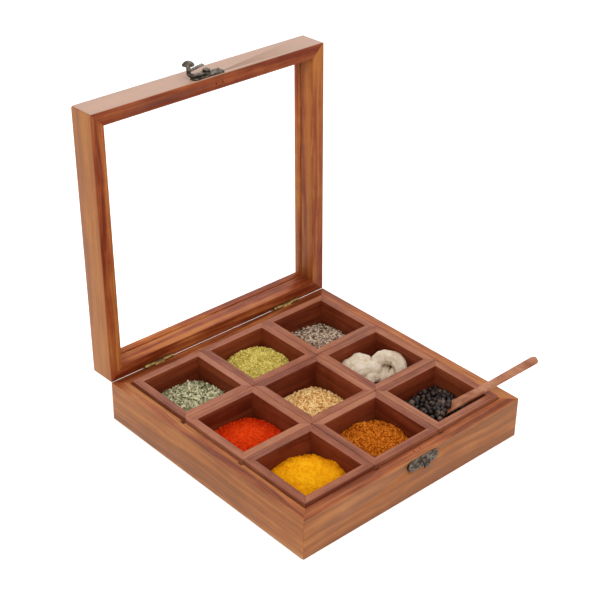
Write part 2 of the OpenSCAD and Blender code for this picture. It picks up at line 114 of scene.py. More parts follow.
class Graph:
    """Short ways to add nodes to a tree and to link them."""

    def __init__(self, tree: NodeTree) -> None:
        """Keeps the node tree to write to."""
        self.tree = tree

    def add(self, kind: str, **settings: object) -> Node:
        """Adds a node and sets its options.

        Args:
            kind: The node's type without the word ShaderNode.
            **settings: Option names and values.

        Returns:
            The new node.
        """
        node = self.tree.nodes.new("ShaderNode" + kind)
        for name, value in settings.items():
            setattr(node, name, value)
        return node

    def put(self, socket: NodeSocket, value: object) -> None:
        """Links an input to an output socket or sets it to a constant.

        Args:
            socket: The input.
            value: The output socket or the constant.
        """
        if isinstance(value, NodeSocket):
            self.tree.links.new(value, socket)
        else:
            socket.default_value = value

    def feed(self, node: Node, **values: object) -> Node:
        """Feeds inputs by name, where an underscore stands for a space.

        Args:
            node: The node to feed.
            **values: Input names with a constant or an output socket.

        Returns:
            The same node.
        """
        for name, value in values.items():
            self.put(node.inputs[name.replace("_", " ")], value)
        return node

    def math(self, operation: str, *terms: object, kind: str = "Math") -> NodeSocket:
        """Adds a Math node or a Vector Math node.

        Args:
            operation: The node's operation.
            *terms: One to three constants or sockets.
            kind: Math or VectorMath.

        Returns:
            The result socket.
        """
        node = self.add(kind, operation=operation)
        for socket, term in zip(node.inputs, terms):
            self.put(socket, term)
        return node.outputs[0]

    def vector(self, operation: str, *terms: object) -> NodeSocket:
        """Adds a Vector Math node."""
        return self.math(operation, *terms, kind="VectorMath")

    def join(self, x: NodeSocket, y: NodeSocket, z: NodeSocket) -> NodeSocket:
        """Joins three values to a vector or a colour."""
        return self.feed(self.add("CombineXYZ"), X=x, Y=y, Z=z).outputs[0]

    def noise(self, vector: NodeSocket, scale: float, detail: float, rough: float = 0.55) -> NodeSocket:
        """Adds a Noise Texture, with detail as its number of octaves and rough as their roughness."""
        node = self.feed(self.add("TexNoise"), Vector=vector, Scale=scale, Detail=detail, Roughness=rough)
        return node.outputs["Fac"]

    def streaks(
        self, vector: NodeSocket, along: float, across: float, detail: float, rough: float = 0.55
    ) -> NodeSocket:
        """Adds noise that is drawn out along X: along is its scale there, and across along Y and Z."""
        return self.noise(self.vector("MULTIPLY", vector, (along, across, across)), 1, detail, rough)

    def span(
        self, value: NodeSocket, start: float, stop: float, first: float = 0.0, last: float = 1.0
    ) -> NodeSocket:
        """Turns one range of a value into another and holds it beyond the ends.

        Args:
            value: The value.
            start: Where its range starts.
            stop: Where its range stops.
            first: The result at the start.
            last: The result at the stop.

        Returns:
            The result socket.
        """
        node = self.add("MapRange")
        self.feed(node, Value=value, From_Min=start, From_Max=stop, To_Min=first, To_Max=last)
        return node.outputs[0]

    def mix(self, kind: str, factor: object, first: object, second: object) -> NodeSocket:
        """Mixes two colours.

        Args:
            kind: The blend type.
            factor: The share of the second colour.
            first: The first colour.
            second: The second colour.

        Returns:
            The mixed colour.
        """
        node = self.add("Mix", data_type="RGBA", blend_type=kind)
        for index, term in ((0, factor), (6, first), (7, second)):
            self.put(node.inputs[index], term)
        return node.outputs[2]

    def tones(self, value: NodeSocket, stops: tuple, given: dict) -> NodeSocket:
        """Blends a group's dark, middle and light colour.

        Args:
            value: The value that picks the colour.
            stops: The three values at which each colour is pure.
            given: The group's inputs.

        Returns:
            The colour socket.
        """
        dark, middle, light = stops
        colour = self.mix("MIX", self.span(value, dark, middle), given["Dark"], given["Middle"])
        return self.mix("MIX", self.span(value, middle, light), colour, given["Light"])


def new_group(name: str, inputs: dict[str, str], outputs: dict[str, str]) -> tuple[Graph, dict, Node]:
    """Starts a shader node group with named sockets.

    Args:
        name: The group's name.
        inputs: Input names with their socket types.
        outputs: Output names with their socket types.

    Returns:
        The graph, the input sockets by name and the group's output node.
    """
    tree = bpy.data.node_groups.new(name, "ShaderNodeTree")
    for label, kind in inputs.items():
        tree.interface.new_socket(label, in_out="INPUT", socket_type="NodeSocket" + kind)
    for label, kind in outputs.items():
        tree.interface.new_socket(label, in_out="OUTPUT", socket_type="NodeSocket" + kind)
    start = tree.nodes.new("NodeGroupInput")
    end = tree.nodes.new("NodeGroupOutput")
    return Graph(tree), {label: start.outputs[label] for label in inputs}, end


class Effects:
    """The node groups that several finishes share, each built once."""

    BOARD_STEPS = (7.3, 13.7, 3.1)
    # OUTER_BAND picks the outer faces of a frame, which the wood finishes wash paler as painted sheen.
    OUTER_BAND = (-0.0006, -0.0002)
    # INSIDE_BAND picks the inner faces of the cups, which the wood finishes darken as painted shade.
    INSIDE_BAND = (-0.0004, -0.0001)

    def __init__(self) -> None:
        """Builds the groups."""
        self.mitre = self._mitre()
        self.grain = self._grain()
        self.speckle = self._speckle()
        self.patina = self._patina()

    @staticmethod
    def place(graph: Graph, group: NodeTree, **values: object) -> Node:
        """Places a group in a tree and feeds it.

        Args:
            graph: The tree to add to.
            group: The node group.
            **values: Inputs by name.

        Returns:
            The group node.
        """
        node = graph.tree.nodes.new("ShaderNodeGroup")
        node.node_tree = group
        return graph.feed(node, **values)

    def _mitre(self) -> NodeTree:
        """Builds coordinates that run along each board of a mitred frame or of a row of frames."""
        graph, given, end = new_group(
            "board_coordinates",
            {"Vector": "Vector", "Pitch": "Float", "Shift": "Float", "Half": "Float", "Hollow": "Float"},
            {"Vector": "Vector", "Board": "Float", "Outer": "Float", "Inside": "Float"},
        )
        parts = graph.feed(graph.add("SeparateXYZ"), Vector=given["Vector"])
        x = graph.math("SUBTRACT", parts.outputs[0], given["Shift"])
        column = graph.math("ROUND", graph.math("DIVIDE", x, given["Pitch"]))
        row = graph.math("ROUND", graph.math("DIVIDE", parts.outputs[1], given["Pitch"]))
        across_x = graph.math("SUBTRACT", x, graph.math("MULTIPLY", column, given["Pitch"]))
        across_y = graph.math("SUBTRACT", parts.outputs[1], graph.math("MULTIPLY", row, given["Pitch"]))
        wide, deep = graph.math("ABSOLUTE", across_x), graph.math("ABSOLUTE", across_y)
        is_side = graph.math("GREATER_THAN", wide, deep)
        is_end = graph.math("SUBTRACT", 1.0, is_side)

        def pick(side: NodeSocket, front: NodeSocket) -> NodeSocket:
            """Gives one value on the left and right boards and another on the front and rear ones."""
            ends = graph.math("MULTIPLY", front, is_end)
            return graph.math("ADD", graph.math("MULTIPLY", side, is_side), ends)

        across = graph.math("MAXIMUM", wide, deep)
        by_column, by_row, by_side = self.BOARD_STEPS
        number = graph.math("MULTIPLY_ADD", column, by_column, graph.math("MULTIPLY", row, by_row))
        sign = graph.math("SIGN", pick(across_x, across_y))
        number = graph.math("ADD", number, graph.math("MULTIPLY_ADD", is_side, by_side, sign))
        dice = graph.feed(graph.add("TexWhiteNoise", noise_dimensions="1D"), W=number)
        place = graph.join(pick(across_y, across_x), across, parts.outputs[2])
        # Outer is 1 on the frame's outer faces, where the wood finishes paint sheen.
        beyond = graph.math("SUBTRACT", across, given["Half"])
        # Inside is 1 on the inner faces of the cups, where the wood finishes paint shade.
        within = graph.math("SUBTRACT", given["Hollow"], across)
        graph.feed(
            end,
            Vector=graph.vector("MULTIPLY_ADD", dice.outputs["Color"], (3.0, 3.0, 3.0), place),
            Board=dice.outputs["Value"],
            Outer=graph.span(beyond, *self.OUTER_BAND),
            Inside=graph.span(within, *self.INSIDE_BAND),
        )
        return graph.tree

    def _grain(self) -> NodeTree:
        """Builds long hardwood grain: broad figure, fine fibres, thin dark veins and pores."""
        graph, given, end = new_group(
            "hardwood_grain",
            {
                "Vector": "Vector", "Board": "Float", "Dark": "Color", "Middle": "Color", "Light": "Color",
                "Figure": "Float",
            },
            {"Color": "Color", "Height": "Float", "Rough": "Float"},
        )
        vector = given["Vector"]
        sway = graph.streaks(vector, along=9, across=30, detail=2)
        flow = graph.vector("MULTIPLY_ADD", sway, (0.0, 0.012, 0.012), vector)
        figure = graph.streaks(flow, along=7, across=170, detail=4, rough=0.6)
        broad = graph.streaks(flow, along=4, across=48, detail=2)
        curl = graph.streaks(vector, along=70, across=45, detail=3)
        fibre = graph.streaks(flow, along=25, across=1300, detail=2, rough=0.6)
        vein = graph.streaks(flow, along=6, across=420, detail=3, rough=0.6)
        pores = graph.streaks(vector, along=300, across=4200, detail=1)
        value = 0.5
        figure_weight = graph.math("MULTIPLY", given["Figure"], 2.6)
        for part, weight in ((figure, figure_weight), (broad, 2.0), (curl, 0.7), (given["Board"], 0.4)):
            value = graph.math("MULTIPLY_ADD", graph.math("SUBTRACT", part, 0.5), weight, value)
        colour = graph.tones(value, (0.0, 0.5, 1.0), given)
        lines = graph.span(vein, 0.56, 0.72, 1.0, 0.66)
        fine = graph.span(fibre, 0.3, 0.7, 0.92, 1.06)
        dots = graph.span(pores, 0.6, 0.72, 1.0, 0.84)
        dim = graph.math("MULTIPLY", graph.math("MULTIPLY", lines, fine), dots)
        graph.feed(
            end,
            Color=graph.mix("MULTIPLY", 1.0, colour, graph.join(dim, dim, dim)),
            Height=graph.math("MULTIPLY_ADD", fibre, 0.5, graph.math("MULTIPLY", dots, 0.6)),
            Rough=graph.span(figure, 0.3, 0.7, 0.42, 0.58),
        )
        return graph.tree

    def _speckle(self) -> NodeTree:
        """Builds the mottled colour and crumbly relief of a loose spice."""
        graph, given, end = new_group(
            "loose_spice",
            {
                "Vector": "Vector", "Grain": "Float", "Pick": "Float", "Dark": "Color", "Middle": "Color",
                "Light": "Color",
            },
            {"Color": "Color", "Height": "Float"},
        )
        scaled = graph.add("VectorMath", operation="SCALE")
        graph.feed(scaled, Vector=given["Vector"], Scale=given["Grain"])
        crumbs = graph.noise(scaled.outputs[0], 1, 4, 0.65)
        patches = graph.noise(scaled.outputs[0], 0.12, 2)
        value = graph.math("MULTIPLY_ADD", crumbs, 0.9, graph.math("MULTIPLY", patches, 0.35))
        # Pick is each spot's tone, set on the pieces; on the heaps it holds painted light and shade.
        value = graph.math("MULTIPLY_ADD", graph.math("SUBTRACT", given["Pick"], 0.5), 0.7, value)
        graph.feed(end, Color=graph.tones(value, (0.25, 0.62, 0.95), given), Height=crumbs)
        return graph.tree

    def _patina(self) -> NodeTree:
        """Builds aged metal: bright where rubbed, dark and rough where tarnished."""
        graph, given, end = new_group(
            "aged_metal",
            {"Vector": "Vector", "Bright": "Color", "Dark": "Color", "Amount": "Float"},
            {"Color": "Color", "Rough": "Float", "Height": "Float"},
        )
        blotch = graph.noise(given["Vector"], 420, 4, 0.6)
        scratch = graph.streaks(given["Vector"], along=900, across=5200, detail=2)
        mask = graph.math("ADD", graph.math("SUBTRACT", blotch, 0.5), given["Amount"])
        mask = graph.span(mask, 0.3, 0.7)
        graph.feed(
            end,
            Color=graph.mix("MIX", mask, given["Bright"], given["Dark"]),
            Rough=graph.math("MULTIPLY_ADD", mask, 0.22, graph.math("MULTIPLY_ADD", scratch, 0.2, 0.2)),
            Height=graph.math("MULTIPLY_ADD", blotch, 0.6, scratch),
        )
        return graph.tree


def start_material(name: str) -> tuple[Material, Graph, Node, NodeSocket]:
    """Starts a material with a Principled shader.

    Args:
        name: The material's name.

    Returns:
        The material, its graph, its Principled node and its Object coordinates.
    """
    material = bpy.data.materials.new(name)
    material.use_nodes = True
    graph = Graph(material.node_tree)
    shader = material.node_tree.nodes["Principled BSDF"]
    return material, graph, shader, graph.add("TexCoord").outputs["Object"]


def add_bump(graph: Graph, shader: Node, height: NodeSocket, strength: float, distance: float) -> None:
    """Feeds a height to the shader's normal, as a bump of some strength and of a depth in metres."""
    bump = graph.feed(graph.add("Bump"), Strength=strength, Distance=distance, Height=height)
    graph.feed(shader, Normal=bump.outputs[0])


@dataclass(frozen=True)
class WoodFinish:
    """An oiled hardwood whose grain follows the boards of a mitred frame."""

    name: str
    dark: tuple
    middle: tuple
    light: tuple
    pitch: float = 0.6
    shift: float = 0.0
    swung: bool = False
    half: float = 1.0
    hollow: float = 0.0
    figure: float = 1.0
    shine: float = 0.18
    # The share and colour of the painted sheen: a pale wash over the frame's outer faces, as though they
    # caught the light.
    painted_sheen: float = 0.3
    painted_sheen_tone: tuple = srgb(206, 150, 98)
    # The colour that multiplies the inner faces of the cups, as painted shade.
    painted_shade_tone: tuple = srgb(206, 160, 128)

    def build(self, effects: Effects) -> Material:
        """Makes the material.

        Args:
            effects: The shared groups.

        Returns:
            The material.
        """
        material, graph, shader, place = start_material(self.name)
        if self.swung:
            back = graph.add("Mapping", vector_type="POINT")
            shift = HINGE - Matrix.Rotation(OPEN_ANGLE, 3, "X") @ HINGE
            place = graph.feed(back, Vector=place, Rotation=(OPEN_ANGLE, 0, 0), Location=shift).outputs[0]
        frame = effects.place(
            graph,
            effects.mitre,
            Vector=place,
            Pitch=self.pitch,
            Shift=self.shift,
            Half=self.half,
            Hollow=self.hollow,
        )
        grain = effects.place(
            graph,
            effects.grain,
            Vector=frame.outputs["Vector"],
            Board=frame.outputs["Board"],
            Dark=self.dark,
            Middle=self.middle,
            Light=self.light,
            Figure=self.figure,
        )
        # Painted sheen: the outer faces are mixed towards a pale colour.
        sheen_share = graph.math("MULTIPLY", frame.outputs["Outer"], self.painted_sheen)
        colour = graph.mix("MIX", sheen_share, grain.outputs["Color"], self.painted_sheen_tone)
        # Painted shade: the inner faces of the cups are multiplied darker and redder.
        colour = graph.mix("MULTIPLY", frame.outputs["Inside"], colour, self.painted_shade_tone)
        graph.feed(shader, Base_Color=colour, Roughness=grain.outputs["Rough"], Specular_IOR_Level=self.shine)
        add_bump(graph, shader, grain.outputs["Height"], strength=0.25, distance=0.0002)
        return material


@dataclass(frozen=True)
class MetalFinish:
    """Aged metal of the hinges, the latch and the keeper."""

    name: str
    bright: tuple
    dark: tuple
    amount: float

    def build(self, effects: Effects) -> Material:
        """Makes the material.

        Args:
            effects: The shared groups.

        Returns:
            The material.
        """
        material, graph, shader, place = start_material(self.name)
        aged = effects.place(
            graph, effects.patina, Vector=place, Bright=self.bright, Dark=self.dark, Amount=self.amount
        )
        graph.feed(shader, Base_Color=aged.outputs["Color"], Roughness=aged.outputs["Rough"], Metallic=1.0)
        add_bump(graph, shader, aged.outputs["Height"], strength=0.25, distance=0.0001)
        return material


@dataclass(frozen=True)
class SpiceFinish:
    """The look of one loose spice."""

    name: str
    dark: tuple
    middle: tuple
    light: tuple
    grain: float = 900.0
    rough: float = 0.85
    relief: float = 0.0004
    gloss: float = 0.06

    def build(self, effects: Effects) -> Material:
        """Makes the material.

        Args:
            effects: The shared groups.

        Returns:
            The material.
        """
        material, graph, shader, place = start_material(self.name)
        pick = graph.add("Attribute", attribute_name="pick", attribute_type="GEOMETRY").outputs["Fac"]
        loose = effects.place(
            graph,
            effects.speckle,
            Vector=place,
            Grain=self.grain,
            Pick=pick,
            Dark=self.dark,
            Middle=self.middle,
            Light=self.light,
        )
        colour = loose.outputs["Color"]
        graph.feed(shader, Base_Color=colour, Roughness=self.rough, Specular_IOR_Level=self.gloss)
        add_bump(graph, shader, loose.outputs["Height"], strength=0.5, distance=self.relief)
        return material


@dataclass(frozen=True)
class PaneFinish:
    """The clear pane of the lid."""

    name: str = "clear_pane"
    tint: tuple = (0.97, 0.985, 0.985, 1)
    bend: float = 1.12

    def build(self, effects: Effects) -> Material:
        """Makes the material: clear, and open to the light that it would cast a shadow from.

        Args:
            effects: The shared groups, of which a clear pane needs none.

        Returns:
            The material.
        """
        material, graph, shader, place = start_material(self.name)
        smudge = graph.span(graph.noise(place, 14, 2), 0.3, 0.8, 0.01, 0.05)
        graph.feed(shader, Base_Color=self.tint, Roughness=smudge, Transmission_Weight=1.0, IOR=self.bend)
        clear = graph.add("BsdfTransparent")
        blend = graph.add("MixShader")
        shadow = graph.add("LightPath").outputs["Is Shadow Ray"]
        for socket, value in zip(blend.inputs, (shadow, shader.outputs[0], clear.outputs[0])):
            graph.put(socket, value)
        graph.feed(graph.tree.nodes["Material Output"], Surface=blend.outputs[0])
        return material


def coat(piece: Object, material: Material) -> None:
    """Gives a piece its one material."""
    piece.data.materials.clear()
    piece.data.materials.append(material)


def make_piece(bm: BMesh, name: str, body: str, material: Material, angle: float = 35) -> Object:
    """Turns a bmesh into a piece with soft shading that rides on a body.

    Args:
        bm: The bmesh, in place, which is freed.
        name: The piece's name.
        body: The body that carries it.
        material: Its material.
        angle: The angle in degrees above which an edge stays sharp.

    Returns:
        The piece.
    """
    mesh = bpy.data.meshes.new(name)
    bm.to_mesh(mesh)
    bm.free()
    mesh.polygons.foreach_set("use_smooth", [True] * len(mesh.polygons))
    mesh.set_sharp_from_angle(angle=math.radians(angle))
    piece = bpy.data.objects.new(name, mesh)
    bpy.context.scene.collection.objects.link(piece)
    coat(piece, material)
    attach(piece, body)
    log.info("%s: %d faces on %s", name, len(mesh.polygons), body)
    return piece


def copy_of(node: Object) -> BMesh:
    """Copies a CAD node, merged and with its flat faces whole.

    Args:
        node: The CAD node.

    Returns:
        The copy.
    """
    bm = bmesh.new()
    bm.from_mesh(node.data)
    bmesh.ops.remove_doubles(bm, verts=bm.verts, dist=WELD)
    bmesh.ops.dissolve_limit(bm, angle_limit=FLAT_ANGLE, verts=bm.verts, edges=bm.edges)
    return bm


def bevel(bm: BMesh, edges: list, width: float) -> None:
    """Rounds edges in two steps.

    Args:
        bm: The bmesh.
        edges: The edges to round.
        width: The width of the rounding in metres.
    """
    bmesh.ops.bevel(
        bm, geom=edges, offset=width, offset_type="OFFSET", segments=2, profile=0.5,
        affect="EDGES", clamp_overlap=True, material=-1,
    )


@dataclass
class MitredBoards:
    """Boards of a mitred frame: rounded corners, eased edges and crisp mitres."""

    nodes: dict
    finish: Material
    body: str
    half: float
    corner_r: float
    edge_r: float
    centre: tuple = (0.0, 0.0)
    swung: bool = False
    corner_cuts: tuple = (15, 30, 45, 60, 75)
    sharp: float = math.radians(50)
    mitre_slack: float = 3e-4

    def dress(self, name: str) -> None:
        """Dresses the node of one or more boards.

        Args:
            name: The CAD node.
        """
        bm = copy_of(self.nodes[name])
        if self.swung:
            bmesh.ops.transform(bm, matrix=SWING.inverted(), verts=bm.verts)
        self._round_corners(bm)
        bevel(bm, [edge for edge in bm.edges if self._is_eased(edge)], self.edge_r)
        if self.swung:
            bmesh.ops.transform(bm, matrix=SWING, verts=bm.verts)
        piece = make_piece(bm, "dressed_" + name, self.body, self.finish)
        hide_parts(name)

    def _round_corners(self, bm: BMesh) -> None:
        """Cuts the outer upright corners to a radius with a few flat cuts.

        Args:
            bm: The boards, in the closed frame.
        """
        inset = self.half - self.corner_r
        for sx, sy in ((-1, -1), (-1, 1), (1, -1), (1, 1)):
            centre = Vector((self.centre[0] + sx * inset, self.centre[1] + sy * inset, 0))
            for degrees in self.corner_cuts:
                turn = math.radians(degrees)
                normal = Vector((sx * math.cos(turn), sy * math.sin(turn), 0))
                cut = bmesh.ops.bisect_plane(
                    bm, geom=bm.verts[:] + bm.edges[:] + bm.faces[:], dist=1e-7,
                    plane_co=centre + normal * self.corner_r, plane_no=normal, clear_outer=True,
                )
                rim = [e for e in cut["geom_cut"] if isinstance(e, BMEdge) and e.is_boundary]
                if rim:
                    bmesh.ops.edgenet_fill(bm, edges=rim)

    def _is_eased(self, edge: BMEdge) -> bool:
        """Says whether an edge is rounded over: a sharp edge that isn't on a mitre or a corner cut.

        Args:
            edge: The edge.

        Returns:
            True where the edge is rounded over.
        """
        if len(edge.link_faces) != 2 or edge.calc_face_angle(0) < self.sharp:
            return False
        oblique = [face for face in edge.link_faces if min(abs(face.normal.x), abs(face.normal.y)) > 0.1]
        return edge.calc_length() > 3 * self.edge_r and not any(self._on_mitre(face) for face in oblique)

    def _on_mitre(self, face: BMFace) -> bool:
        """Says whether a face lies in a mitre joint.

        Args:
            face: The face.

        Returns:
            True where it does.
        """
        spot = face.calc_center_median()
        wide = abs(abs(spot.x - self.centre[0]) - self.half)
        deep = abs(abs(spot.y - self.centre[1]) - self.half)
        return abs(wide - deep) < self.mitre_slack


@dataclass
class RoundedParts:
    """Small metal or wooden parts of one finish, with rounded edges."""

    nodes: dict
    finish: Material
    sharp: float = math.radians(40)

    def dress(self, name: str, body: str, width: float) -> None:
        """Dresses one part.

        Args:
            name: The CAD node.
            body: The body that it rides on.
            width: The width of its rounded edges in metres.
        """
        bm = copy_of(self.nodes[name])
        edges = [e for e in bm.edges if len(e.link_faces) == 2 and e.calc_face_angle(0) > self.sharp]
        bevel(bm, edges, width)
        piece = make_piece(bm, "dressed_" + name, body, self.finish)
        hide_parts(name)


class Shape(Enum):
    """The form of a single grain, with the steps of its ball, its lift in widths and its tilt."""

    CRUMB = (1, 0.15, 0.45)
    BALL = (2, 0.1, 0.45)
    SEED = (2, 0.3, 0.45)
    FLAKE = (0, 0.25, 0.8)


@dataclass
class Heap:
    """One heap of spice: a mound with loose grains on it. The plan gives its lengths in millimetres."""

    name: str
    cup: str
    seed: int
    shape: Shape
    count: int
    edge: float
    rise: float
    length: float
    width: float
    lump: float
    # The mound's own tone. Grains sit 0.2 lighter, so where they lie thick the mound showing between them is
    # painted shade.
    bed: float
    # How much lighter the mound is at its top than on its low sides: painted light and shade.
    fade: float
    contrast: float
    keep_clear: tuple = ()
    cells: int = 90
    wall_gap: float = 0.00015
    foot: float = 0.0001
    dish: float = 3 * MM
    octaves: tuple = ((1.0, 1.6), (3.1, 0.9), (8.3, 0.6))
    node: str = field(init=False)
    taken: list = field(default_factory=list)

    def __post_init__(self) -> None:
        """Turns the lengths to metres and finds the cup's middle."""
        for label in ("edge", "rise", "length", "width", "lump"):
            setattr(self, label, getattr(self, label) * MM)
        self.node = "heap_" + self.name
        self.x, self.y = cup_centre(self.cup)
        self.half = CUP_INNER / 2 - self.wall_gap

    def height(self, x: float, y: float) -> float:
        """Gives the mound's height over the cup's floor.

        Args:
            x: Place from the cup's middle, to the right.
            y: Place from the cup's middle, to the rear.

        Returns:
            The height in metres.
        """
        corner = CUP_INNER * math.sqrt(0.5)
        bulge = self.rise * (1 - (x * x + y * y) / (corner * corner))
        spot = Vector((x * 90 + self.seed * 3.1, y * 90, self.seed))
        rough = sum(noise.noise(spot * scale) * share for scale, share in self.octaves)
        level = self.edge + bulge + rough * self.lump
        for px, py, reach in self.keep_clear:
            away = math.hypot(self.x + x - px, self.y + y - py) / reach
            if away < 1:
                ease = max(0.0, away - 0.8) * 5
                level = min(level, self.dish + ease * level)
        return level

    def build(self, finish: Material) -> None:
        """Makes the heap.

        Args:
            finish: Its material.
        """
        dice = random.Random(self.seed)
        bm = bmesh.new()
        bmesh.ops.create_grid(bm, x_segments=self.cells, y_segments=self.cells, size=self.half)
        for vert in bm.verts:
            vert.co.z = self.height(vert.co.x, vert.co.y)
        walls = bmesh.ops.extrude_edge_only(bm, edges=[edge for edge in bm.edges if edge.is_boundary])
        for item in walls["geom"]:
            if isinstance(item, BMVert):
                item.co.z = self.foot
        bmesh.ops.contextual_create(bm, geom=[edge for edge in bm.edges if edge.is_boundary])
        bmesh.ops.recalc_face_normals(bm, faces=bm.faces)
        bmesh.ops.translate(bm, verts=bm.verts, vec=(self.x, self.y, FILL_Z))
        pick = bm.verts.layers.float.new("pick")
        # Each spot's tone: lighter towards the mound's top and darker low down, as painted light and shade.
        for vert in bm.verts:
            vert[pick] = self.bed + self.fade * self._share(vert.co.z - FILL_Z)
        grain = self._grain()
        for _ in range(self.count):
            self._drop(bm, grain, dice)
        bpy.data.meshes.remove(grain)
        piece = make_piece(bm, self.node + "_fill", "cup_" + self.cup, finish, 60)
        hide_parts(self.node)

    def _share(self, level: float) -> float:
        """Gives how far a level lies over the middle of the mound, from -0.5 to 0.5."""
        return min(1.0, max(0.0, (level - self.edge) / self.rise)) - 0.5

    def _grain(self) -> Mesh:
        """Makes one grain, long along X, that the heap repeats.

        Returns:
            The grain's mesh.
        """
        bm = bmesh.new()
        steps, _, _ = self.shape.value
        if self.shape is Shape.FLAKE:
            bmesh.ops.create_grid(bm, x_segments=5, y_segments=2, size=0.5)
            for vert in bm.verts:
                vert.co.y *= 1 - 1.2 * vert.co.x * vert.co.x
                vert.co.z = 0.35 * math.sin(3.2 * vert.co.x) + 0.25 * vert.co.y * vert.co.y
            bmesh.ops.solidify(bm, geom=bm.faces, thickness=0.08)
        else:
            bmesh.ops.create_icosphere(bm, subdivisions=steps, radius=0.5)
            for vert in bm.verts:
                if self.shape is Shape.SEED:
                    vert.co.z += 0.12 * vert.co.x * vert.co.x
                    vert.co.y *= 1 - 0.5 * abs(vert.co.x)
                else:
                    vert.co *= 1 + 0.22 * noise.noise(vert.co * (5 if self.shape is Shape.BALL else 3))
        bm.verts.layers.float.new("pick")
        mesh = bpy.data.meshes.new("grain")
        bm.to_mesh(mesh)
        bm.free()
        return mesh

    def _drop(self, bm: BMesh, grain: Mesh, dice: random.Random) -> None:
        """Lays one grain on the mound, unless there is no room for it.

        Args:
            bm: The heap.
            grain: The grain's mesh.
            dice: The seeded source of chance.
        """
        _, lift, tilt = self.shape.value
        scale = dice.uniform(0.75, 1.2)
        long, wide = self.length * scale, self.width * scale
        room = self.half - (wide if self.shape is Shape.BALL else long) * 0.5
        x, y = dice.uniform(-room, room), dice.uniform(-room, room)
        layer = 0
        if self.shape is Shape.BALL:
            gaps = [math.hypot(px - x, py - y) for px, py in self.taken]
            layer = sum(gap < 0.8 * wide for gap in gaps)
            if layer > 1 or any(gap < 0.35 * wide for gap in gaps):
                return
            self.taken.append((x, y))
        if any(math.hypot(self.x + x - px, self.y + y - py) < reach for px, py, reach in self.keep_clear):
            return
        turn = Euler((dice.gauss(0, tilt), dice.gauss(0, tilt * 0.6), dice.uniform(0, math.tau))).to_matrix()
        height = self.height(x, y)
        level = FILL_Z + height + (lift + 0.45 * layer) * wide + dice.uniform(0, 0.3) * wide
        place = Matrix.Translation((self.x + x, self.y + y, level))
        copy = grain.copy()
        copy.transform(place @ turn.to_4x4() @ Matrix.Diagonal((long, wide, wide, 1)))
        # A grain's tone: 0.2 lighter than the mound, so thick grains leave the gaps in painted shade; lighter
        # near the top as painted light; and random.
        shade = self.bed + 0.2 + self.fade * self._share(height) + (dice.random() - 0.5) * self.contrast
        copy.attributes["pick"].data.foreach_set("value", [shade] * len(copy.vertices))
        bm.from_mesh(copy)
        bpy.data.meshes.remove(copy)


@dataclass
class DriedRoots:
    """The dried pale roots in one cup, each by its bent line, its width and its seed, in millimetres."""

    node: str = "heap_slices"
    cup: str = "mr"
    roots: tuple = (
        (((6, 5, 10), (9, 8, 16), (15, 7, 18), (20, 0, 17.5), (19.5, -7, 14), (18.5, -10, 7)), 8.6, 1),
        (((-15, 20, 9), (-9, 19, 14), (0, 18, 16), (8, 14, 15)), 8.0, 2),
        (((-14, 12, 7), (-7, 12, 12), (1, 9, 13), (8, 3, 12)), 9.0, 3),
        (((-4, 3, 5), (0, 3, 9), (5, 2, 8)), 6.4, 4),
        (((18, 7, 7), (13, 4, 7), (6, 0, 4)), 8.0, 5),
        (((19, -2, 10), (15, -3, 8), (11, -5, 4)), 4.6, 6),
        (((-17, -18, 3), (0, -17, 3), (17, -18, 3)), 6.0, 7),
        (((-18, -8, 3), (-4, -7, 4), (12, -9, 3)), 6.6, 8),
        (((-19, 2, 3), (-8, 2, 5), (6, 12, 5)), 7.0, 9),
    )

    def build(self, finish: Material) -> None:
        """Makes the pieces as bent, knobbly tubes.

        Args:
            finish: Their material.
        """
        bm = bmesh.new()
        for points, thick, seed in self.roots:
            self._root(bm, points, thick, seed)
        pick = bm.verts.layers.float.new("pick")
        for vert in bm.verts:
            vert[pick] = 0.5
        piece = make_piece(bm, self.node + "_fill", "cup_" + self.cup, finish, 70)
        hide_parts(self.node)

    def _root(self, bm: BMesh, points: tuple, thick: float, seed: int) -> None:
        """Adds one root: a ball drawn out along a bent line.

        Args:
            bm: The bmesh to add to.
            points: The line that it follows, in millimetres from the cup's floor and middle.
            thick: Its width in millimetres.
            seed: The seed of its knobs.
        """
        middle = Vector((*cup_centre(self.cup), FILL_Z))
        line = [Vector(p) * MM for p in points]
        for vert in bmesh.ops.create_icosphere(bm, subdivisions=4, radius=1.0)["verts"]:
            share = (vert.co.x + 1) / 2 * (len(line) - 1)
            index = min(int(share), len(line) - 2)
            part = share - index
            spine = line[index].lerp(line[index + 1], part)
            before = line[max(index - 1, 0)] - line[index]
            ahead = (line[index + 1] - line[index]).normalized()
            ahead = (ahead - before.normalized() * (1 - part) * 0.5).normalized() if index else ahead
            side = ahead.cross(Vector((0, 0, 1))).normalized()
            up = side.cross(ahead)
            knob = 1 + 0.26 * noise.noise(Vector((vert.co.x * 2.2, vert.co.y, seed * 5.0)))
            knob += 0.12 * noise.noise(vert.co * 3.3 + Vector((seed, 0, 0)))
            ball = max(0.45, math.sqrt(max(0.05, 1 - vert.co.x**2)))
            blunt = math.sqrt(max(0.0, 1 - abs(vert.co.x) ** 5))
            wide = thick * MM * knob * 0.62 / ball * blunt
            tip = ahead * vert.co.x * thick * MM * 0.2
            vert.co = spine + side * vert.co.y * wide + up * vert.co.z * wide + tip
            vert.co += middle


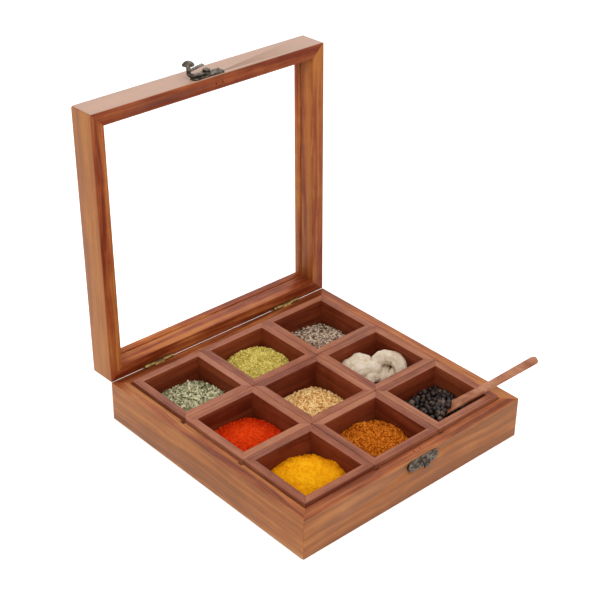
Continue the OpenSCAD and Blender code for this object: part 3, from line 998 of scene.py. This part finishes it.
@dataclass
class Scoop:
    """The peppercorns in the bowl of the spoon, which ride on it.

    A layer is given by how far ahead of the bowl's middle it lies, its reach and its level.
    """

    bowl: tuple = SPOON_BOWL
    rise: float = math.radians(28)
    turn: float = math.radians(-29.1)
    width: float = 4.2 * MM
    crowd: float = 0.82
    dip: float = 0.08
    tries: int = 900
    seed: int = 77
    layers: tuple = (
        (0.0, 11.5 * MM, 0.4 * MM),
        (3.0 * MM, 10.0 * MM, 3.7 * MM),
        (11.0 * MM, 6.0 * MM, 3.9 * MM),
    )

    def build(self, finish: Material) -> None:
        """Makes the peppercorns in layers, each clear of those beside it.

        Args:
            finish: Their material.
        """
        dice = random.Random(self.seed)
        tip = Matrix.Rotation(self.turn, 4, "Z") @ Matrix.Rotation(-self.rise, 4, "Y")
        place = Matrix.Translation(self.bowl) @ tip
        bm = bmesh.new()
        pick = bm.verts.layers.float.new("pick")
        for ahead, reach, level in self.layers:
            taken: list[Vector] = []
            for _ in range(self.tries):
                spot = Vector((dice.uniform(-1, 1), dice.uniform(-1, 1), 0)) * reach
                crowded = any((spot - other).length < self.crowd * self.width for other in taken)
                if spot.length > reach or crowded:
                    continue
                taken.append(spot)
                size = self.width * dice.uniform(0.46, 0.54)
                made = bmesh.ops.create_icosphere(bm, subdivisions=2, radius=size)
                shift = Vector((ahead, 0, level + dice.uniform(0, 0.8) * MM - spot.length * self.dip))
                shade = dice.uniform(-0.35, 0.75)
                for vert in made["verts"]:
                    vert.co *= 1 + 0.14 * noise.noise(vert.co * 900 + spot * 5000)
                    vert.co = place @ (vert.co + spot + shift)
                    vert[pick] = shade
        piece = make_piece(bm, "scooped_pepper", "spoon", finish, 60)


@dataclass
class Studio:
    """The camera, the lamps, the world and the floor."""

    place: Vector = field(default_factory=lambda: Vector((-0.56688, -0.60304, 0.59737)))
    azimuth: float = -42.483
    elevation: float = 30.781
    roll: float = 0.901
    focal_px: float = 1426.13
    picture_px: float = 600.0
    sensor: float = 36.0
    room_light: float = 0.62
    floor_glow: float = 0.5

    def build(self) -> None:
        """Sets up the view and the light."""
        scene = bpy.context.scene
        scene.view_settings.view_transform = "Standard"
        self._camera(scene)
        self._world(scene)
        self._floor()
        self._lamp("key_softbox", (-0.7, -0.9, 1.5), power=13.0, size=1.1)
        self._lamp("rear_softbox", (0.9, 1.2, 1.3), power=7.0, size=1.2)
        log.info("studio ready")

    def _camera(self, scene: Scene) -> None:
        """Makes the camera at the photograph's viewing angle.

        Args:
            scene: The scene.
        """
        turn, lift, roll = (math.radians(v) for v in (self.azimuth, self.elevation, self.roll))
        back = Vector((math.sin(turn) * math.cos(lift), -math.cos(turn) * math.cos(lift), math.sin(lift)))
        right = Vector((0, 0, 1)).cross(back).normalized()
        up = back.cross(right)
        axes = (
            right * math.cos(roll) + up * math.sin(roll),
            up * math.cos(roll) - right * math.sin(roll),
            back,
        )
        data = bpy.data.cameras.new("camera")
        data.sensor_width = self.sensor
        data.lens = self.focal_px * self.sensor / self.picture_px
        data.clip_start, data.clip_end = 0.05, 20.0
        camera = bpy.data.objects.new("camera", data)
        camera.matrix_world = Matrix.Translation(self.place) @ Matrix(axes).transposed().to_4x4()
        scene.collection.objects.link(camera)
        scene.camera = camera

    def _world(self, scene: Scene) -> None:
        """Makes a plain pale world that shows white to the camera.

        Args:
            scene: The scene.
        """
        world = bpy.data.worlds.new("pale_room")
        world.use_nodes = True
        graph = Graph(world.node_tree)
        strength = graph.math("MULTIPLY_ADD", self._seen(graph), 1.0 - self.room_light, self.room_light)
        graph.feed(world.node_tree.nodes["Background"], Color=(1, 1, 1, 1), Strength=strength)
        scene.world = world

    @staticmethod
    def _seen(graph: Graph) -> NodeSocket:
        """Gives 1 for rays that show the background and 0 for those that light the object.

        Args:
            graph: The node tree to add to.

        Returns:
            The value socket.
        """
        ray = graph.add("LightPath")
        shown = graph.math("MAXIMUM", ray.outputs["Is Camera Ray"], ray.outputs["Is Transmission Ray"])
        return graph.math("MAXIMUM", shown, ray.outputs["Is Glossy Ray"])

    def _floor(self) -> None:
        """Makes the plain pale floor."""
        material, graph, shader, _ = start_material("pale_floor")
        glow = graph.math("MULTIPLY", self._seen(graph), self.floor_glow)
        graph.feed(shader, Base_Color=(0.9, 0.9, 0.9, 1), Roughness=0.9)
        graph.feed(shader, Emission_Color=(1, 1, 1, 1), Emission_Strength=glow)
        bm = bmesh.new()
        bmesh.ops.create_grid(bm, x_segments=2, y_segments=2, size=6)
        bmesh.ops.translate(bm, verts=bm.verts, vec=(0, 0, -0.0002))
        mesh = bpy.data.meshes.new("floor")
        bm.to_mesh(mesh)
        bm.free()
        mesh.materials.append(material)
        floor = bpy.data.objects.new("floor", mesh)
        bpy.context.scene.collection.objects.link(floor)

    @staticmethod
    def _lamp(name: str, place: tuple, power: float, size: float) -> None:
        """Makes a soft square lamp that looks at the box.

        Args:
            name: The lamp's name.
            place: Where it hangs.
            power: Its power in watts.
            size: Its width in metres.
        """
        data = bpy.data.lights.new(name, "AREA")
        data.energy, data.size = power, size
        lamp = bpy.data.objects.new(name, data)
        aim = Vector((0, 0, 0.05)) - Vector(place)
        lamp.matrix_world = Matrix.Translation(place) @ aim.to_track_quat("-Z", "Y").to_matrix().to_4x4()
        bpy.context.scene.collection.objects.link(lamp)


class SpiceBox:
    """The whole box, dressed sub-assembly by sub-assembly."""

    def __init__(self, nodes: dict) -> None:
        """Makes the finishes.

        Args:
            nodes: The CAD nodes by name.
        """
        self.nodes = nodes
        effects = Effects()
        looks = {**self._solid_looks(), **self._spice_looks()}
        self.finish = {name: look.build(effects) for name, look in looks.items()}

    @staticmethod
    def _solid_looks() -> dict:
        """Lists the finishes of the wood, the metal and the pane.

        Returns:
            The finishes by short name.
        """
        rail = srgb(122, 46, 14), srgb(160, 80, 40), srgb(188, 114, 54)
        return {
            "base": WoodFinish(
                "base_boards", srgb(124, 56, 24), srgb(164, 88, 46), srgb(192, 122, 66),
                half=BODY_HALF, figure=1.5,
            ),
            "rails": WoodFinish("lid_rails", *rail, swung=True, half=BODY_HALF, figure=1.4, painted_sheen=0.4),
            # The lid's front rail gets the strongest painted sheen, a pale pinkish wash over its outer face.
            "front_rail": WoodFinish(
                "lid_front_rail", *rail, swung=True, half=BODY_HALF, painted_sheen=0.72, painted_sheen_tone=srgb(214, 182, 162)
            ),
            "cups": WoodFinish(
                "cup_boards", srgb(122, 60, 40), srgb(158, 92, 64), srgb(178, 114, 82),
                pitch=CUP_PITCH, shift=CUP_SHIFT, hollow=CUP_INNER / 2, figure=0.9,
            ),
            "ply": WoodFinish(
                "plywood_edge", srgb(150, 92, 56), srgb(186, 128, 84), srgb(206, 156, 112),
                figure=0.8, painted_sheen=0.0,
            ),
            "spoon": WoodFinish(
                "spoon_wood", srgb(150, 88, 58), srgb(182, 120, 88), srgb(200, 142, 108),
                figure=0.8, painted_sheen=0.0,
            ),
            "brass": MetalFinish("aged_brass", srgb(186, 152, 96), srgb(96, 70, 40), 0.5),
            "bronze": MetalFinish("antique_bronze", srgb(128, 116, 102), srgb(42, 35, 30), 0.55),
            "pane": PaneFinish(),
        }

    @staticmethod
    def _spice_looks() -> dict:
        """Lists the finishes of the spices.

        Returns:
            The finishes by the names of the heaps.
        """
        return {
            "turmeric": SpiceFinish(
                "turmeric_powder", srgb(184, 96, 2), srgb(230, 144, 4), srgb(252, 182, 14), 2200
            ),
            "masala": SpiceFinish(
                "masala_powder", srgb(118, 44, 2), srgb(184, 92, 12), srgb(222, 130, 36), 1400
            ),
            "pepper": SpiceFinish(
                "peppercorns", srgb(20, 12, 9), srgb(54, 37, 29), srgb(128, 104, 88), 900,
                rough=0.42, relief=0.0009, gloss=0.4,
            ),
            "chilli": SpiceFinish(
                "chilli_powder", srgb(138, 16, 0), srgb(206, 42, 2), srgb(240, 80, 16), 2600
            ),
            "seeds": SpiceFinish(
                "pale_seeds", srgb(150, 92, 34), srgb(230, 174, 100), srgb(255, 224, 160), 600,
                rough=0.5, gloss=0.2,
            ),
            "herbs": SpiceFinish(
                "dried_herbs", srgb(58, 60, 30), srgb(162, 160, 116), srgb(236, 228, 194), 500
            ),
            "coriander": SpiceFinish(
                "coriander_powder", srgb(134, 112, 30), srgb(204, 182, 84), srgb(236, 220, 128), 1400
            ),
            "cumin": SpiceFinish(
                "cumin_seeds", srgb(62, 42, 28), srgb(150, 124, 100), srgb(222, 200, 178), 900, rough=0.7
            ),
            "slices": SpiceFinish(
                "dried_root", srgb(170, 140, 100), srgb(228, 208, 182), srgb(248, 238, 222), 260,
                rough=0.8, relief=0.0012,
            ),
        }

    def dress(self) -> None:
        """Dresses every node in turn."""
        self._base()
        self._cups()
        self._lid()
        self._hardware()
        self._spices()
        RoundedParts(self.nodes, self.finish["spoon"]).dress("spoon", "spoon", 0.7 * MM)

    def _base(self) -> None:
        """Dresses the base's boards and bottom sheet."""
        boards = MitredBoards(self.nodes, self.finish["base"], "base", BODY_HALF, 1.6 * MM, 0.6 * MM)
        for name in ("base_front", "base_rear", "base_left", "base_right"):
            boards.dress(name)
        sheet = MitredBoards(self.nodes, self.finish["ply"], "base", BODY_HALF, 1.6 * MM, 0.3 * MM)
        sheet.dress("base_bottom")

    def _cups(self) -> None:
        """Dresses the walls and floors of the nine cups."""
        wood = self.finish["cups"]
        for cup in CUPS:
            body, centre = "cup_" + cup, cup_centre(cup)
            boards = MitredBoards(self.nodes, wood, body, CUP_HALF, 0.9 * MM, 0.35 * MM, centre=centre)
            boards.dress(f"cup_{cup}_walls")
            coat(self.nodes[f"cup_{cup}_floor"], wood)

    def _lid(self) -> None:
        """Dresses the lid's rails and its pane."""
        for look, names in (("rails", ("lid_rear", "lid_left", "lid_right")), ("front_rail", ("lid_front",))):
            wood = self.finish[look]
            rails = MitredBoards(self.nodes, wood, "lid", BODY_HALF, 1.8 * MM, 0.6 * MM, swung=True)
            for name in names:
                rails.dress(name)
        coat(self.nodes["lid_pane"], self.finish["pane"])

    def _hardware(self) -> None:
        """Dresses the hinges, the latch, the keeper and the screws."""
        brass = RoundedParts(self.nodes, self.finish["brass"])
        for side in ("left", "right"):
            for part, body, width in (("base", "base", 0.15), ("lid", "lid", 0.15), ("pin", "base", 0.1)):
                brass.dress(f"hinge_{side}_{part}", body, width * MM)
        for body in ("base", "lid"):
            brass.dress("hinge_screws_" + body, body, 0.08 * MM)
        bronze = RoundedParts(self.nodes, self.finish["bronze"])
        for name, body, width in (
            ("latch_plate", "lid", 0.25),
            ("latch_rivet", "lid", 0.35),
            ("latch_screws", "lid", 0.08),
            ("latch_hook", "hook", 0.3),
            ("keeper_plate", "base", 0.3),
            ("keeper_screws", "base", 0.08),
        ):
            bronze.dress(name, body, width * MM)

    def _spices(self) -> None:
        """Fills the nine cups and the bowl of the spoon."""
        columns = "name cup seed shape count edge rise length width lump bed fade contrast".split()
        plan = (
            ("turmeric", "fl", 1, Shape.CRUMB, 500, 7, 15, 1.0, 0.9, 1.2, 0.45, 0.9, 0.5),
            ("masala", "fm", 2, Shape.CRUMB, 2200, 6, 13, 1.8, 1.6, 1.5, 0.36, 0.4, 0.9),
            ("pepper", "fr", 3, Shape.BALL, 2600, 8, 3.5, 4.3, 4.2, 0.5, 0.0, 0.1, 1.2),
            ("chilli", "ml", 4, Shape.CRUMB, 900, 5.5, 12, 1.0, 0.9, 0.6, 0.34, 0.7, 0.7),
            ("seeds", "mm", 5, Shape.SEED, 1900, 4.5, 9, 2.0, 1.5, 0.4, 0.4, 0.2, 0.9),
            ("herbs", "rl", 6, Shape.FLAKE, 1500, 6, 9.5, 3.8, 1.3, 0.9, 0.36, 0.4, 1.2),
            ("coriander", "rm", 7, Shape.CRUMB, 1800, 6, 16, 1.6, 1.3, 1.4, 0.42, 0.3, 0.9),
            ("cumin", "rr", 8, Shape.SEED, 1300, 5, 9.5, 4.8, 1.2, 0.4, 0.34, 0.2, 1.2),
        )
        around_bowl = (*SPOON_BOWL[:2], 12.5 * MM)
        for row in plan:
            heap = Heap(**dict(zip(columns, row)))
            heap.keep_clear = (around_bowl,) if heap.name == "pepper" else ()
            heap.build(self.finish[heap.name])
        Scoop().build(self.finish["pepper"])
        DriedRoots().build(self.finish["slices"])


def main() -> None:
    """Builds the scene."""
    logging.basicConfig(level=logging.INFO, format="%(name)s: %(message)s")
    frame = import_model()
    Studio().build()
    SpiceBox(frame["nodes"]).dress()


if __name__ == "__main__":
    main()
